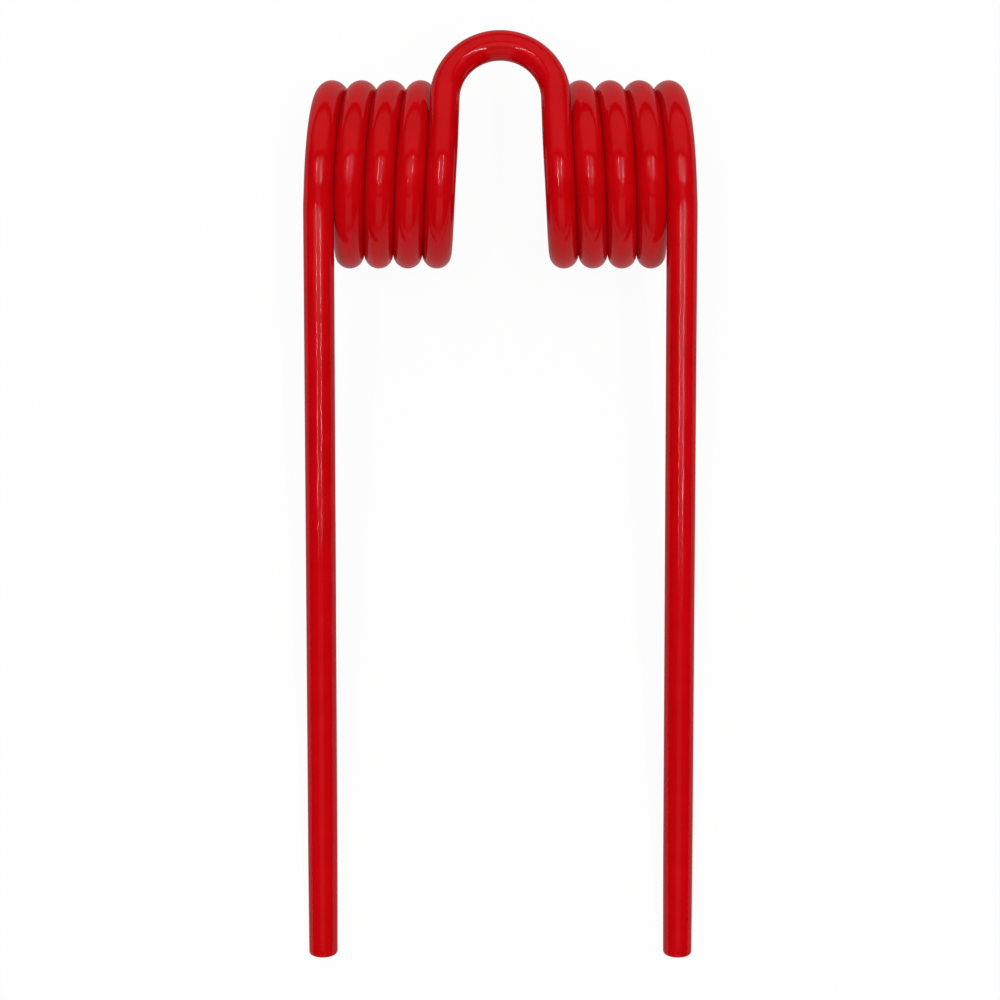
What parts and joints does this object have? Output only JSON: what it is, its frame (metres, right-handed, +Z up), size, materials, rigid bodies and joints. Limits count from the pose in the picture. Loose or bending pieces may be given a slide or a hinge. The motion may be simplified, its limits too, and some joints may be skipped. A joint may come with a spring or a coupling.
{
  "type": "baler pick-up tine",
  "caption": "Torsion spring tine of bent round wire: straight parallel legs, close-wound coils on one axis and an arched bridge loop that joins them.",
  "frame": {"origin": "on the floor, at the middle of the space that the tine takes up lying face up", "axes": "+X across, along the coil axis; +Y from the leg ends towards the bridge loop; +Z up, out of the front face. The legs lie in one plane, which slopes up towards +Y by 11.14 degrees, and the bridge loop leans 16 degrees back from that plane"},
  "size_m": [0.081, 0.1892, 0.0384],
  "materials": {
    "red_paint": "gloss"
  },
  "bodies": {
    "root": {"tine": "red_paint"}
  },
  "joints": []
}
